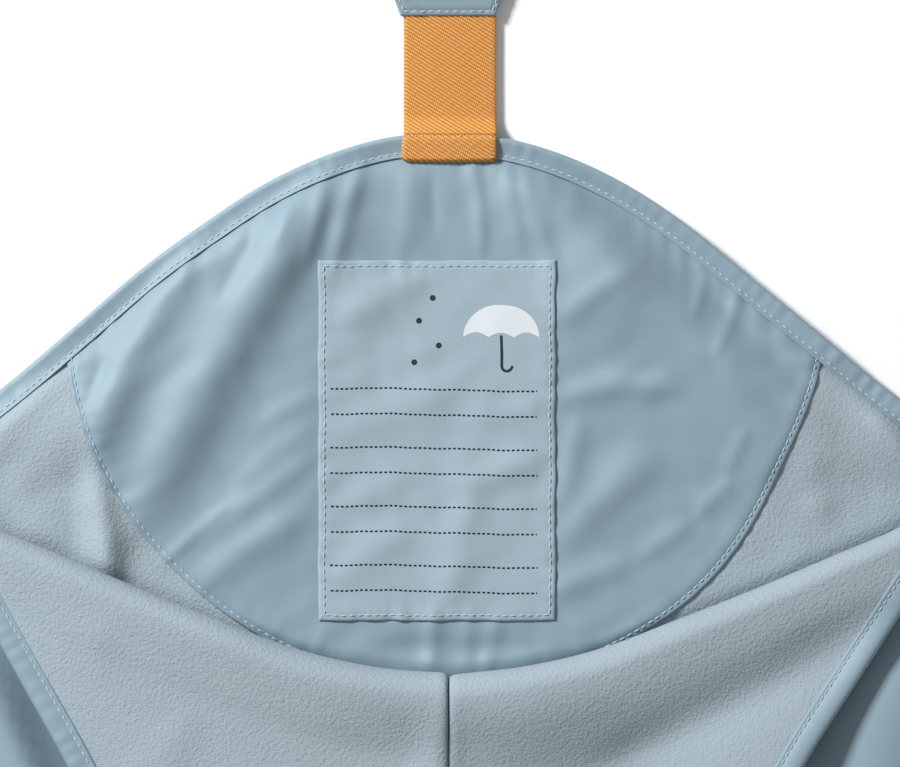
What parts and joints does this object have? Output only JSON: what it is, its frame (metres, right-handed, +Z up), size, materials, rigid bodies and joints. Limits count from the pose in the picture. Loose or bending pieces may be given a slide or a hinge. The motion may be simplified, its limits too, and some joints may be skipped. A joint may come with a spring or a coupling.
{
  "type": "rain trousers",
  "caption": "Child's fleece-lined bib rain trousers lying flat, front up, with the bib folded down to show the inside of the back, the brace elastic and plain braces.",
  "frame": {"origin": "middle of the garment's box on the floor it lies on", "axes": "+X towards the picture's right, +Y from the leg hems towards the braces, +Z up from the floor"},
  "size_m": [0.3606, 1.1816, 0.024],
  "materials": {
    "shell": "coated rain cloth, soft sheen",
    "fleece": "short brushed fleece, matt",
    "patch": "fine woven twill, matt",
    "tape": "coated edge tape, soft sheen",
    "elastic": "woven twill elastic",
    "button": "satin"
  },
  "bodies": {
    "root": {"back_left": "shell", "back_lining_left": "fleece", "back_lining_right": "fleece", "back_right": "shell", "back_tape_left": "tape", "back_tape_right": "tape", "bib_tape_left": "tape", "bib_tape_right": "tape", "bib_tape_top": "tape", "button_left": "button", "button_right": "button", "elastic": "elastic", "front_left": "shell", "front_lining_left": "fleece", "front_lining_right": "fleece", "front_right": "shell", "name_patch": "patch", "strap_junction": "shell", "strap_left": "shell", "strap_right": "shell", "yoke": "shell"}
  },
  "joints": []
}
